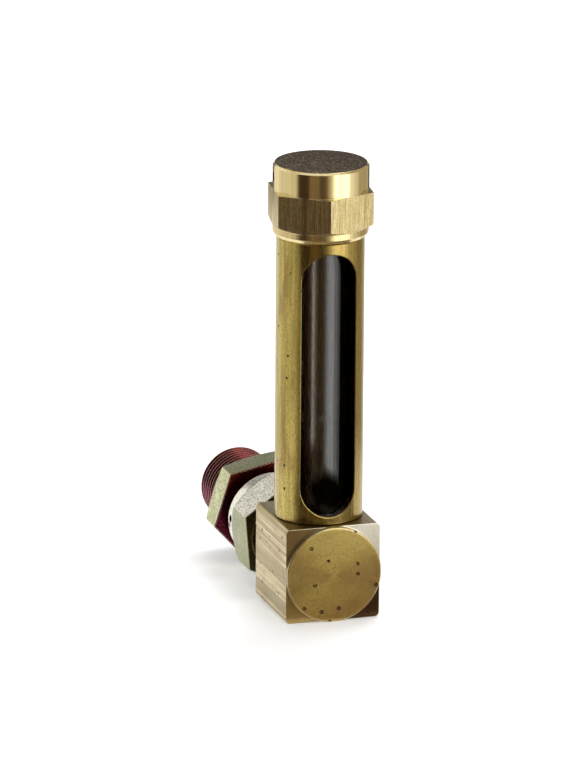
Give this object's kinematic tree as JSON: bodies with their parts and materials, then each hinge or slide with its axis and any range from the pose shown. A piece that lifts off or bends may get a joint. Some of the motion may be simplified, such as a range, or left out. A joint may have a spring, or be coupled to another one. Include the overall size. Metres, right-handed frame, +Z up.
{
  "type": "column level gauge",
  "caption": "Upright sight gauge: square brass elbow, windowed brass column round a glass tube, vented hex cap and a swivel pipe union.",
  "frame": {"origin": "on the block's underside, under the column's axis", "axes": "+Z up the column, +Y back along the pipe union, so the window faces -Y"},
  "size_m": [0.0288, 0.0868, 0.1218],
  "materials": {
    "block_brass": "drawn and turned, tarnished",
    "column_brass": "drawn, tarnished",
    "cap_brass": "turned, bright",
    "glass": "clear, polished",
    "gasket": "matt",
    "nut_plate": "yellow zinc plated",
    "adapter_plate": "yellow zinc plated, iridescent",
    "spring_wire": "drawn"
  },
  "bodies": {
    "gauge": {"elbow_block": "block_brass", "column_tube": "column_brass", "vent_cap": "cap_brass", "gauge_glass": "glass", "lower_gasket": "gasket", "upper_gasket": "gasket", "swivel_nut": "nut_plate", "retaining_wire": "spring_wire"},
    "adapter": {"pipe_adapter": "adapter_plate"}
  },
  "joints": [
    {"name": "union_swivel", "type": "hinge", "parent": "gauge", "child": "adapter", "pos_m": [0, 0.038, 0.0127], "axis": [0, 1, 0], "continuous": true}
  ]
}
